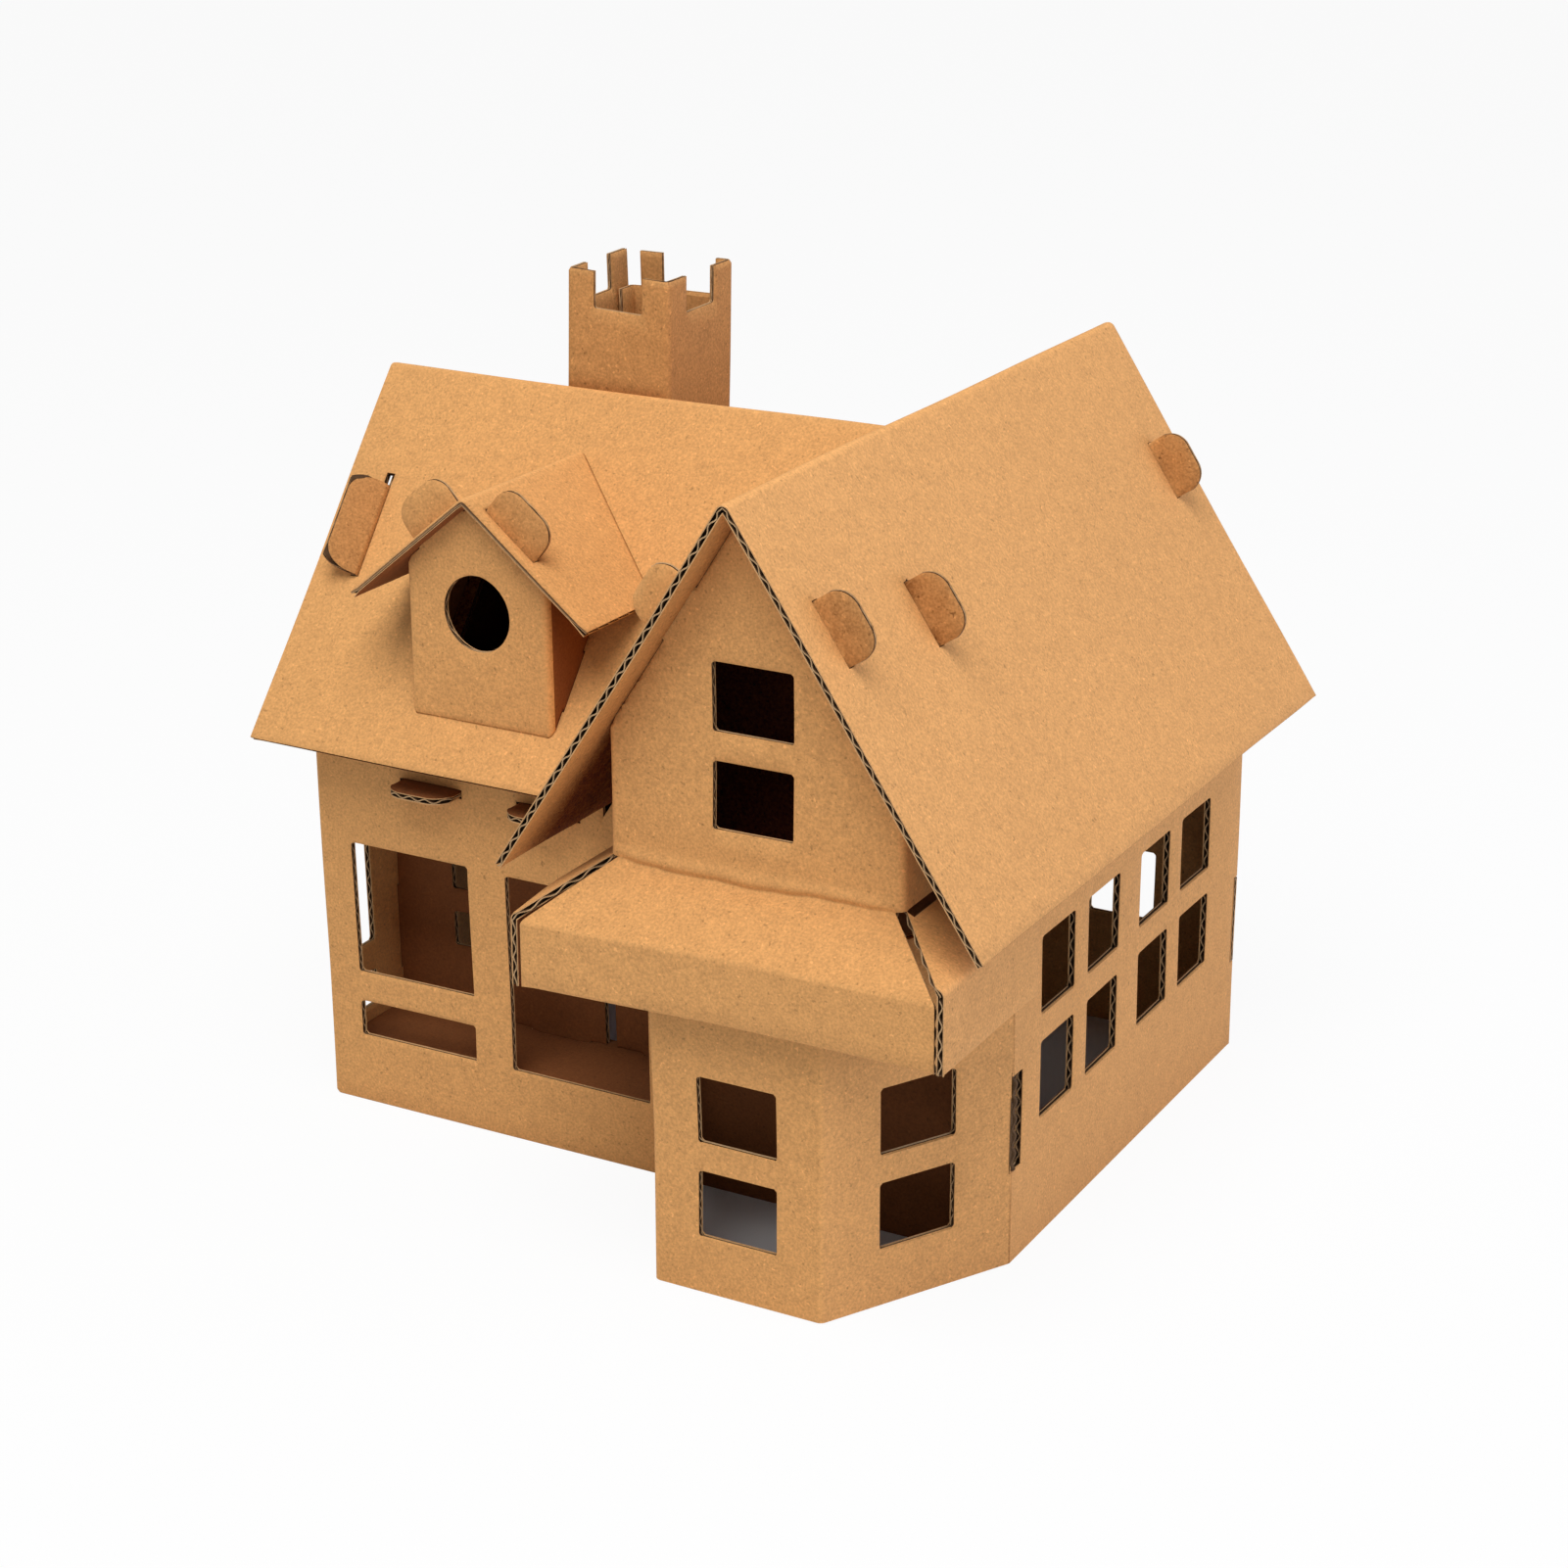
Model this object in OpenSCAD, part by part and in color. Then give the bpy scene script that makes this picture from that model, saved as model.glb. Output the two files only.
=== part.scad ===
// Playhouse of folded and slotted corrugated board: an L-shaped cottage with a recessed porch,
// a gabled wing over a three-sided bay, a hipped bay canopy, a dormer and a crenellated chimney.
// Every sheet is one folded solid, and the sheets hold together by tabs pushed through slots.
// The origin is under the middle of the house, on the table. The bay looks along -Y.

/* [Board] */
// Thickness of the corrugated board
board = 3; // [2.5:0.1:3.5]
// Play on each side of a tab in its slot
slot_play = 0.3; // [0.2:0.05:0.5]
// Gap between two sheets that lie against each other
seat_gap = 0.2; // [0.1:0.05:0.4]
// Corner radius of the die-cut panes
pane_r = 1.2; // [0.5:0.1:2]
// Length of the tabs that stay hidden inside the house
hidden_tab = 24; // [18:0.5:26]
// How far a hidden tab goes past the wall that it passes through
tab_tail = 4; // [2:0.5:6]

/* [House body] */
// Width over the left gable wall and the right side wall
house_w = 295; // [290:1:305]
// Depth of the main house over its front and rear walls
main_d = 175; // [170:1:180]
// Depth of the wing behind the front wall
wing_d = 209; // [204:1:216]
// Width of the wing
wing_w = 143; // [140:1:148]
// Lower end of the corner tabs above the table
corner_tab_z = 37; // [32:1:48]
// Height of the corner tabs
corner_tab_h = 36; // [30:1:46]
// Width of the slot at the fold between bay and side wall
fold_slot_w = 8; // [5:0.5:10]
// How far the front wall's end tab stops short of that slot's mouth
fold_tab_in = 1.2; // [0.2:0.1:2]

/* [Front wall openings] */
// Left edge of the porch window, from the left gable wall
window_x = 15.5; // [10:0.5:20]
// Width of the porch window
window_w = 53.5; // [45:0.5:58]
// Sill of the porch window
window_z = 55.5; // [50:0.5:60]
// Height of the porch window
window_h = 53.5; // [45:0.5:58]
// Lower edge of the low opening and of the doorway
sill_z = 28.5; // [26:0.5:34]
// Height of the low opening under the porch window
low_h = 14.5; // [10:0.5:17]
// Distance of the doorway's right edge from the wing
door_in = 5; // [4:0.5:8]
// Width of the doorway
door_w = 61.5; // [50:0.5:62]
// Height of the doorway
door_h = 80; // [70:0.5:85]
// Front edge of the porch's side opening, from the front wall
side_opening_y = 8.5; // [6:0.5:12]
// Width of the porch's side opening
side_opening_w = 20; // [14:0.5:24]

/* [Porch] */
// Distance of the porch's inner wall behind the front wall
porch_d = 45.5; // [40:0.5:55]
// Height of the porch deck
deck_z = 23; // [16:0.5:25]
// Left edge of the small panes in the porch wall
porch_pane_x = 29.5; // [20:0.5:36]
// Width of the small panes in the porch wall
porch_pane_w = 15; // [10:0.5:20]
// Height of the small panes in the porch wall
porch_pane_h = 14.5; // [10:0.5:18]
// Sill of the lower small pane
porch_pane_z = 52; // [46:0.5:58]
// Step from the lower small pane to the upper one
porch_pane_step = 24.5; // [20:0.5:28]
// Distance of the narrow slit's left edge from the wing
slit_in = 53; // [46:0.5:60]
// Width of the slit
slit_w = 5; // [3:0.5:8]
// Height of the slit
slit_h = 62; // [40:1:80]

/* [Bay] */
// How far the bay stands out from the front wall
bay_out = 69; // [62:1:72]
// Width of the bay's front face
bay_front_w = 66; // [60:1:72]
// Height of the bay walls
bay_h = 136; // [126:1:138]
// Width of a bay pane
bay_pane_w = 31; // [26:0.5:36]
// Height of a bay pane
bay_pane_h = 25; // [20:0.5:30]
// Sill of the lower bay panes
bay_pane_z = 22; // [18:0.5:28]
// Step from the lower bay panes to the upper ones
bay_pane_step = 36; // [32:0.5:42]

/* [Side and rear panes] */
// Width of a pane in the side and rear walls
pane_w = 28; // [24:0.5:32]
// Height of a pane in the side and rear walls
pane_h = 29.3; // [25:0.1:33]
// Sill of the lower row of panes
pane_z = 48; // [44:0.5:54]
// Step from the lower row to the upper row
pane_step_z = 40.2; // [36:0.1:44]
// Step from one pane to the next in a window
pane_step = 39.7; // [36:0.1:44]
// Front edge of the first side window, behind the front wall
side_window_y = 22.5; // [16:0.5:28]
// Step from the first side window to the second
side_window_step = 87.7; // [84:0.1:92]
// Left edge of the rear window, from the wing's left side
rear_window_x = 41; // [34:0.5:44]

/* [Wing roof] */
// Height at which the wing roof's outer faces meet
wing_ridge_z = 289.5; // [284:0.5:296]
// Slope of the wing roof
wing_pitch = 56.6; // [55:0.1:58]
// Length of each wing slope from ridge to eave
wing_slope = 170; // [166:0.5:174]
// How far the wing roof reaches out in front of the front wall
wing_front = 71; // [68:0.5:76]
// How far the wing roof reaches out behind the wing's rear wall
wing_rear = 20; // [16:0.5:26]
// Gap between the wing roof's inner eave and the step in the walls beside it
eave_gap = 1; // [0.5:0.5:3]

/* [Main roof] */
// Height at which the main roof's outer faces meet
main_ridge_z = 275.5; // [272:0.5:279]
// Slope of the main roof
main_pitch = 50; // [49:0.1:51]
// How far the main roof reaches out over its front and rear walls
main_eave_out = 16.6; // [12:0.1:22]
// How far the main roof reaches past the left gable wall
main_rake = 17; // [12:0.5:22]

/* [Roof tabs] */
// Length of the wing's roof tabs along the slope
tab_len = 24; // [20:0.5:28]
// How far a roof tab stands out of the roof
tab_proud = 14; // [10:0.5:16]
// Corner radius of the tabs
tab_r = 8; // [4:0.5:9]
// Middle of the front gable's roof tabs, down the slope from the ridge
gable_tab_at = 54; // [48:0.5:60]
// Middle of the wing walls' roof tabs, down the slope from the ridge
wall_tab_at = 63.5; // [58:0.5:70]
// Length of the left gable wall's roof tabs
rake_tab_len = 38; // [32:0.5:44]
// Middle of the left gable wall's roof tabs, down the slope from the ridge
rake_tab_at = 72; // [66:0.5:78]
// How far the left gable wall's tabs are bent over outwards
rake_tab_lean = 40; // [20:1:60]
// Spare length at the upper end of their slots
rake_slot_spare = 5; // [3:0.5:8]

/* [Front gable and canopy] */
// How far the front gable stands out from the front wall
gable_out = 55; // [50:0.5:60]
// Width of the front gable
gable_w = 113; // [106:0.5:120]
// Height of the crease between gable and canopy
gable_base_z = 152; // [148:0.5:156]
// Width of a gable pane
gable_pane_w = 31; // [26:0.5:36]
// Height of a gable pane
gable_pane_h = 24.5; // [20:0.5:28]
// Sill of the lower gable pane
gable_pane_z = 169; // [164:0.5:174]
// Step from the lower gable pane to the upper one
gable_pane_step = 35; // [31:0.5:39]
// Length of the canopy flaps from crease to fold
flap_len = 30; // [26:0.5:33]
// Slope of the canopy's front flap
front_flap_pitch = 36; // [32:0.5:38]
// Slope of the canopy's left flap
left_flap_pitch = 31.5; // [28:0.5:36]
// Slope of the canopy's right flap
right_flap_pitch = 25; // [22:0.5:30]
// Height of the canopy's lower edge
fascia_z = 110; // [104:0.5:116]
// Distance of the side flaps' rear ends from the front wall
flap_rear = 7; // [5:0.5:14]
// Width of the slit along the crease of each side flap
crease_slit = 2.5; // [1.5:0.5:4]
// Length behind that slit where the side flap stays joined
crease_hold = 10; // [6:0.5:14]
// Gap at the canopy's two hips
hip_gap = 0.8; // [0.4:0.1:1.5]

/* [Attic floor] */
// Height of the attic floor's underside
attic_z = 136.5; // [134:0.5:138]
// Distance of the first attic tab from the left gable wall
attic_tab_left = 40.5; // [34:0.5:44]
// Distance of the second attic tab from the wing
attic_tab_right = 33; // [28:0.5:38]
// Length of an attic tab
attic_tab_len = 27; // [24:0.5:30]
// How far the attic tabs stand out of the walls
attic_tab_proud = 12; // [10:0.5:14]
// Distance of the attic floor's end from the wing
attic_end = 3; // [2:0.5:8]

/* [Dormer] */
// How far the dormer stands to the right of the main house's middle
dormer_shift = 4; // [0:0.5:8]
// Width of the dormer
dormer_w = 61.5; // [56:0.5:66]
// How far the dormer's face stands out in front of the front wall
dormer_out = 3; // [1:0.5:6]
// Diameter of the round dormer window
dormer_hole_d = 28.6; // [22:0.2:34]
// Height of the middle of the round window
dormer_hole_z = 210.5; // [206:0.5:214]
// Height at which the dormer roof's outer faces meet
dormer_ridge_z = 255.5; // [252:0.5:259]
// Slope of the dormer roof
dormer_pitch = 39; // [37:0.5:41]
// Length of each dormer slope from ridge to eave
dormer_slope = 66.5; // [62:0.5:70]
// How far the dormer roof reaches out in front of the dormer's face
dormer_over = 6.5; // [4:0.5:10]
// Middle of the dormer's roof tabs, down the slope from the ridge
dormer_tab_at = 21; // [20:0.5:22]
// Length of the dormer's roof tabs
dormer_tab_len = 26; // [22:0.5:28]
// Width of the opening in the main roof behind the dormer
dormer_well_w = 46; // [36:1:48]
// Length of that opening along the slope
dormer_well_len = 56; // [46:1:58]
// Middle of that opening, down the slope from the ridge
dormer_well_at = 98; // [95:0.5:101]

/* [Chimney] */
// How far the chimney stands to the right of the main house's middle
chimney_shift = 5.75; // [2:0.25:14]
// Width of the chimney
chimney_w = 44.5; // [40:0.5:48]
// Depth of the chimney
chimney_d = 50; // [44:0.5:54]
// Distance of the chimney's front face behind the ridge
chimney_back = 4; // [3.5:0.5:8]
// Height of the chimney's top
chimney_top = 317.5; // [312:0.5:326]
// Width of the notch in each chimney wall
crenel_w = 21; // [16:0.5:24]
// Depth of the notches
crenel_d = 14; // [10:0.5:18]
// How far the rear wall's notch lies to the right, and the width of the open corner at the glued seam
seam_shift = 5.5; // [3:0.5:8]
// Width of the glue flap inside the chimney
glue_flap = 12; // [8:0.5:16]

/* [Hidden] */
$fn = 48;

kraft = [0.80, 0.61, 0.41];
kraft_shade = [0.74, 0.56, 0.38];

// The wing: its ridge lies over the middle of the bay
wing_left = house_w - wing_w;
wing_x = house_w - wing_w / 2;
wing_run = wing_slope * cos(wing_pitch);
wing_eave_x = wing_x - wing_run;

// What stands between the left gable wall and the wing
door_x = wing_left - door_in - door_w;
slit_x = wing_left - slit_in;
dormer_x = wing_left / 2 + dormer_shift;
chimney_x = wing_left / 2 + chimney_shift - chimney_w / 2;

// The main roof: its ridge lies over the middle of the main house
main_ridge_y = main_d / 2;
main_run = main_d / 2 + main_eave_out;
main_slope = main_run / cos(main_pitch);

// Left of this line the front and rear walls reach up to the main roof, right of it to the wing roof
roof_split_x = wing_eave_x - eave_gap;

// The canopy: runs and drops of its flaps
front_run = flap_len * cos(front_flap_pitch);
front_drop = flap_len * sin(front_flap_pitch);
gable_half = gable_w / 2;
left_half = gable_half + flap_len * cos(left_flap_pitch);
right_half = gable_half + flap_len * cos(right_flap_pitch);
canopy_front = gable_out + front_run;

// Room for the front wall's end inside the fold between bay and side wall
fold_play = 4 * slot_play;

// The middle of the whole house, which becomes the origin
centre_x = (wing_x + wing_run - main_rake) / 2;
centre_y = (wing_d + wing_rear - canopy_front) / 2;

// The room inside the main house, between its walls and beside the wing
inner_left = board + seat_gap;
inner_front = board + seat_gap;
inner_w = wing_left - attic_end - inner_left;

// A length past every edge of the house, and the height of a wall before its top is cut to the roof
reach = 400;
blank_h = reach - board;
// How far a cutting tool starts outside the sheet that it cuts
cut = 2 * board;
// How far a tab's root goes into its own sheet
tab_root = 2 * board;
// Steps in the round outside of a fold
fold_steps = 8;

function heading(p, q) = atan2(q[1] - p[1], q[0] - p[0]);
function wrapped(a) = a > 180 ? a - 360 : a < -180 ? a + 360 : a;
function turn(pts, i) = wrapped(heading(pts[i], pts[i + 1]) - heading(pts[i - 1], pts[i]));
function is_end(pts, i) = i == 0 || i == len(pts) - 1;
function trim(pts, i) = is_end(pts, i) ? 0 : max(0, board * tan(turn(pts, i) / 2));

// From a face of the board to its other face, where the board lies on the left of a heading
function across(a) = board * [-sin(a), cos(a)];
// The round outside of a fold, about the sharp corner inside it
function fold_arc(centre, from, to) =
  [for (k = [0 : fold_steps]) centre - across(from + 90 + (to - from) * k / fold_steps) ];
// The sharp corner of a fold that turns towards the board
function inner_corner(pts, i) =
  let (a = heading(pts[i - 1], pts[i])) pts[i] - trim(pts, i) * [cos(a), sin(a)] + across(a);

// The two sides of a folded sheet's section: the given face forwards, and the other face back again
function face_side(pts) =
  [for (i = [0 : len(pts) - 1])
    each is_end(pts, i) || turn(pts, i) < 0 ? [pts[i]]
      : let (a = heading(pts[i - 1], pts[i])) fold_arc(inner_corner(pts, i), a - 90, a - 90 + turn(pts, i))];
function other_side(pts) =
  [for (i = [len(pts) - 1 : -1 : 0])
    let (a = heading(pts[max(i, 1) - 1], pts[max(i, 1)]))
      each is_end(pts, i) ? [pts[i] + across(a)]
        : turn(pts, i) > 0 ? [inner_corner(pts, i)]
        : fold_arc(pts[i], a + 90 + turn(pts, i), a + 90)];

// The section of a folded sheet. The points follow one face, and the board lies on their left.
module fold_strip(pts) { polygon(concat(face_side(pts), other_side(pts))); }

// Planes for flat sections: x stays x and y becomes height, or x becomes depth and y height
module along_depth(from, to) {
  translate([0, to, 0]) rotate([90, 0, 0]) linear_extrude(to - from) children();
}
module along_width(from, to) {
  translate([from, 0, 0]) rotate([90, 0, 90]) linear_extrude(to - from) children();
}

// A die-cut pane with slightly rounded corners
module pane(w, h) {
  translate([pane_r, 0]) square([w - 2 * pane_r, h]);
  translate([0, pane_r]) square([w, h - 2 * pane_r]);
  for (x = [pane_r, w - pane_r])
    for (y = [pane_r, h - pane_r])
      translate([x, y]) circle(pane_r);
}

// A tab that stands on the line y = 0, with its root below the line and its outer corners rounded
module tab_shape(at, length, root, proud) {
  r = min(tab_r, length / 2 - seat_gap);
  translate([at - length / 2, -root]) square([length, root + proud - r]);
  translate([at - length / 2 + r, 0]) square([length - 2 * r, proud]);
  for (u = [at - length / 2 + r, at + length / 2 - r])
    translate([u, proud - r]) circle(r);
}

// The slot for such a tab
module slot_shape(at, length, spare = 0) {
  translate([at - length / 2 - slot_play - spare, -tab_root])
    square([length + spare + 2 * slot_play, 2 * tab_root]);
}

// The right and the left slope of a roof whose ridge runs along Y, as seen at the ridge line.
// The drawing's x runs down the slope and its y out of it. The plate lies between two depths.
module on_slopes(x, ridge_z, pitch, from, to) {
  for (side = [0, 1])
    translate([x, 0, ridge_z])
      mirror([side, 0, 0])
        along_depth(from, to)
          rotate(-pitch) children();
}

// The front and the rear slope of the main roof in the same way, for plates across the ridge
module on_main_slopes(from, to, sides = [0, 1]) {
  for (side = sides)
    translate([0, main_ridge_y, main_ridge_z])
      mirror([0, side, 0])
        translate([to, 0, 0])
          rotate([90, 0, -90])
            linear_extrude(to - from)
              rotate(-main_pitch) children();
}

// All that lies above a ridged roof's outer face, moved out by off
module above_ridge(at, ridge_z, pitch, off) {
  top = ridge_z + off / cos(pitch);
  low = top - reach * tan(pitch);
  polygon([[at - reach, low], [at, top], [at + reach, low], [at + reach, reach], [at - reach, reach]]);
}

// All that lies under a ridged roof's outer face, moved out by off
module under_ridge(at, ridge_z, pitch, off) {
  top = ridge_z + off / cos(pitch);
  low = top - reach * tan(pitch);
  polygon([[at - reach, low], [at, top], [at + reach, low]]);
}

module under_main_roof(off) {
  along_width(-reach, reach) under_ridge(main_ridge_y, main_ridge_z, main_pitch, off);
}
module under_wing_roof(off) {
  along_depth(-reach, reach) under_ridge(wing_x, wing_ridge_z, wing_pitch, off);
}

// Cuts the tops of the walls to the two roofs. The two cuts lap where the walls step down to the wing.
module roof_cuts() {
  fit = -board - seat_gap;
  along_width(-reach, roof_split_x + board) above_ridge(main_ridge_y, main_ridge_z, main_pitch, fit);
  along_depth(-reach, reach)
    intersection() {
      above_ridge(wing_x, wing_ridge_z, wing_pitch, fit);
      translate([roof_split_x, 0]) square([2 * reach, reach]);
    }
}

// The tabs of a wing wall through both wing slopes, and the slots for them
module wing_tabs(at, from) {
  on_slopes(wing_x, wing_ridge_z, wing_pitch, from, from + board)
    tab_shape(at, tab_len, board + seat_gap + tab_root, tab_proud);
}
module wing_slots(at, from) {
  on_slopes(wing_x, wing_ridge_z, wing_pitch, from - slot_play, from + board + slot_play)
    slot_shape(at, tab_len);
}

// The bent-over tabs of the left gable wall through both main slopes
module rake_tabs() {
  root = board + seat_gap + tab_root;
  bend = board / 2;
  tip = [bend + tab_proud * cos(rake_tab_lean), tab_proud * sin(rake_tab_lean)];
  for (side = [0, 1])
    translate([board, main_ridge_y, main_ridge_z])
      mirror([0, side, 0])
        rotate([90, 0, -90])
          rotate(-main_pitch)
            difference() {
              translate([rake_tab_at - rake_tab_len / 2, 0, 0])
                rotate([90, 0, 90])
                  linear_extrude(rake_tab_len) fold_strip([[-root, 0], [bend, 0], tip]);
              // The two outer corners are rounded
              for (end = [0, 1])
                translate([rake_tab_at, tip[0], 0])
                  mirror([end, 0, 0])
                    translate([rake_tab_len / 2 - tab_r, -tab_r, -board])
                      linear_extrude(tip[1] + 2 * board)
                        difference() {
                          square(2 * tab_r);
                          circle(tab_r);
                        }
            }
}

// Where the attic floor's tabs start, along the front and the rear wall
attic_tabs = [attic_tab_left, wing_left - attic_tab_right - attic_tab_len];

// Slots for the attic floor in a wall that lies between two depths
module attic_slots(from, to) {
  for (x = attic_tabs)
    translate([x - slot_play, from - cut, attic_z - slot_play])
      cube([attic_tab_len + 2 * slot_play, to - from + 2 * cut, board + 2 * slot_play]);
}

// The two-by-two window of the side and rear walls, drawn in the wall's plane
module window_panes(x) {
  for (i = [0, 1])
    for (j = [0, 1])
      translate([x + i * pane_step, pane_z + j * pane_step_z]) pane(pane_w, pane_h);
}

// Left gable wall and front wall, folded at the corner. The front wall carries on behind the bay
// and rises under the wing roof.
module front_wall() {
  // The wall ends just inside the fold between bay and side wall
  end_x = house_w - board - fold_play;
  color(kraft) {
    difference() {
      linear_extrude(blank_h) fold_strip([[0, main_d], [0, 0], [end_x, 0]]);
      roof_cuts();
      along_depth(-cut, board + cut) {
        translate([window_x, window_z]) pane(window_w, window_h);
        translate([window_x, sill_z]) pane(window_w, low_h);
        translate([door_x, sill_z]) pane(door_w, door_h);
      }
      along_width(-cut, board + cut) {
        translate([side_opening_y, window_z]) pane(side_opening_w, window_h);
        translate([side_opening_y, sill_z]) pane(side_opening_w, low_h);
      }
      attic_slots(0, board);
      translate([0, 0, corner_tab_z - slot_play])
        linear_extrude(corner_tab_h + 2 * slot_play) {
          // Notch for the rear wall's corner tab, and slot for the porch wall's end tab
          translate([-cut, main_d - board - slot_play]) square([board + 2 * cut, board + cut]);
          translate([-cut, porch_d - slot_play]) square([board + 2 * cut, board + 2 * slot_play]);
          // Slot for the bay's slanting end tab
          bay_tab_plan(slot_play, board + cut);
        }
      // Slots for the tabs at the rear of the gable's sides
      for (x = [wing_x - gable_half, wing_x + gable_half - board])
        translate([x - slot_play, -cut, gable_base_z + tab_root - slot_play])
          cube([board + 2 * slot_play, board + 2 * cut, hidden_tab + 2 * slot_play]);
    }
    wing_tabs(wall_tab_at, 0);
    rake_tabs();
    // Tab into the slot at the fold between bay and side wall
    translate([end_x - tab_root, 0, corner_tab_z])
      cube([house_w - fold_tab_in - end_x + tab_root, board, corner_tab_h]);
  }
}

// How far the bay's slanting walls come in from its front corners
bay_front_in = (wing_w - bay_front_w) / 2;

// Plan of the bay's end tab: it carries on along the slanting left wall, through the front wall
module bay_tab_plan(play, tail) {
  translate([wing_left, 0])
    rotate(atan2(-bay_out, bay_front_in))
      translate([-tail, -play]) square([tail + tab_root, board + 2 * play]);
}

// Bay and right side wall, folded three times. A slot at the last fold takes the front wall's tab.
module bay_and_side_wall() {
  slant = atan2(bay_out, bay_front_in);
  face_len = norm([bay_front_in, bay_out]);
  // The left face ends square, just clear of the front wall
  end_back = (seat_gap + board * cos(slant)) / sin(slant);
  left_corner = [wing_left + bay_front_in, -bay_out];
  left_end = left_corner + (face_len - end_back) * [-cos(slant), sin(slant)];
  right_corner = [house_w - bay_front_in, -bay_out];
  wall_top = wing_ridge_z - wing_w / 2 * tan(wing_pitch) - (board + seat_gap) / cos(wing_pitch);
  color(kraft) {
    difference() {
      linear_extrude(wall_top)
        fold_strip([left_end, left_corner, right_corner, [house_w, 0], [house_w, wing_d]]);
      translate([0, -reach, bay_h]) cube([reach, reach + slot_play, reach]);
      for (j = [0, 1])
        translate([0, 0, bay_pane_z + j * bay_pane_step]) {
          along_depth(-bay_out - cut, -bay_out + board + cut)
            translate([wing_x - bay_pane_w / 2, 0]) pane(bay_pane_w, bay_pane_h);
          for (side = [0, 1])
            translate([wing_x, 0, 0])
              mirror([side, 0, 0])
                translate([bay_front_w / 2, -bay_out, 0])
                  rotate(slant)
                    along_depth(-cut, board + cut)
                      translate([(face_len - bay_pane_w) / 2, 0]) pane(bay_pane_w, bay_pane_h);
        }
      along_width(house_w - board - cut, house_w + cut)
        for (i = [0, 1]) window_panes(side_window_y + i * side_window_step);
      translate([house_w - board - cut, 0, corner_tab_z - slot_play])
        linear_extrude(corner_tab_h + 2 * slot_play) {
          // Slot at the fold for the front wall's end tab
          translate([0, -slot_play]) square([board + 2 * cut, fold_slot_w]);
          // Notch for the rear wall's corner tab
          translate([0, wing_d - board - slot_play]) square([board + 2 * cut, board + cut]);
        }
    }
    // End tab through the front wall
    translate([0, 0, corner_tab_z]) linear_extrude(corner_tab_h) bay_tab_plan(0, board + tab_tail);
  }
}

// Rear wall of the main house, a return and the rear wall of the wing, folded twice
module rear_wall() {
  right_x = house_w - inner_left;
  color(kraft) {
    difference() {
      linear_extrude(blank_h)
        fold_strip([[right_x, wing_d], [wing_left, wing_d], [wing_left, main_d], [inner_left, main_d]]);
      roof_cuts();
      along_depth(wing_d - board - cut, wing_d + cut) window_panes(wing_left + rear_window_x);
      attic_slots(main_d - board, main_d);
    }
    wing_tabs(wall_tab_at, wing_d - board);
    // Corner tabs in the notches of the two side walls
    translate([right_x - tab_root, wing_d - board, corner_tab_z])
      cube([house_w - right_x + tab_root, board, corner_tab_h]);
    translate([0, main_d - board, corner_tab_z]) cube([inner_left + tab_root, board, corner_tab_h]);
  }
}

// Attic floor of the main house, with two tabs through the front wall and two through the rear wall
module attic_floor() {
  color(kraft_shade)
    difference() {
      translate([0, 0, attic_z])
        linear_extrude(board) {
          translate([inner_left, inner_front]) square([inner_w, main_d - 2 * inner_front]);
          for (x = attic_tabs)
            for (side = [0, 1])
              translate([x + attic_tab_len / 2, side * main_d])
                rotate(side == 0 ? 180 : 0)
                  tab_shape(0, attic_tab_len, tab_root, attic_tab_proud);
        }
      // Slots for the porch wall's upper tabs
      for (x = attic_tabs)
        translate([x - slot_play, porch_d - slot_play, 0])
          cube([hidden_tab + 2 * slot_play, board + 2 * slot_play, reach]);
    }
}

// Inner wall of the porch, with two small panes and a narrow slit
module porch_wall() {
  color(kraft_shade)
    along_depth(porch_d, porch_d + board)
      difference() {
        union() {
          translate([inner_left, 0]) square([inner_w, attic_z - seat_gap]);
          translate([0, corner_tab_z]) square([inner_left + tab_root, corner_tab_h]);
          for (x = attic_tabs)
            translate([x, attic_z - tab_root]) square([hidden_tab, tab_root + board + tab_tail]);
        }
        for (j = [0, 1])
          translate([porch_pane_x, porch_pane_z + j * porch_pane_step]) pane(porch_pane_w, porch_pane_h);
        translate([slit_x, deck_z + seat_gap]) square([slit_w, slit_h]);
        for (x = attic_tabs)
          translate([x - slot_play, deck_z - board - slot_play])
            square([hidden_tab + 2 * slot_play, board + 2 * slot_play]);
      }
}

// Porch deck, folded down at the front into a riser that stands on the table
module porch_deck() {
  color(kraft_shade) {
    along_width(inner_left, inner_left + inner_w)
      fold_strip([[porch_d - seat_gap, deck_z], [inner_front, deck_z], [inner_front, 0]]);
    // Tabs through the porch wall
    for (x = attic_tabs)
      translate([x, porch_d - seat_gap - tab_root, deck_z - board])
        cube([hidden_tab, tab_root + seat_gap + board + tab_tail, board]);
  }
}

// Plan of the front flap between the two hips
module front_flap_plan() {
  left_in = left_half - board - hip_gap;
  right_in = right_half - board - hip_gap;
  near = gable_half - board;
  polygon([[-near, -gable_out + board], [near, -gable_out + board], [near, -gable_out],
    [right_in, -canopy_front], [right_in, -reach], [-left_in, -reach], [-left_in, -canopy_front],
    [-near, -gable_out]]);
}

// Plan of a side flap behind its hip, where the flap reaches out to half
module side_flap_plan(half) {
  polygon([[gable_half - board, -gable_out + board], [gable_half, -gable_out + board],
    [half - board, -canopy_front], [reach, -canopy_front], [reach, -flap_rear],
    [gable_half - board, -flap_rear]]);
}

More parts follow.
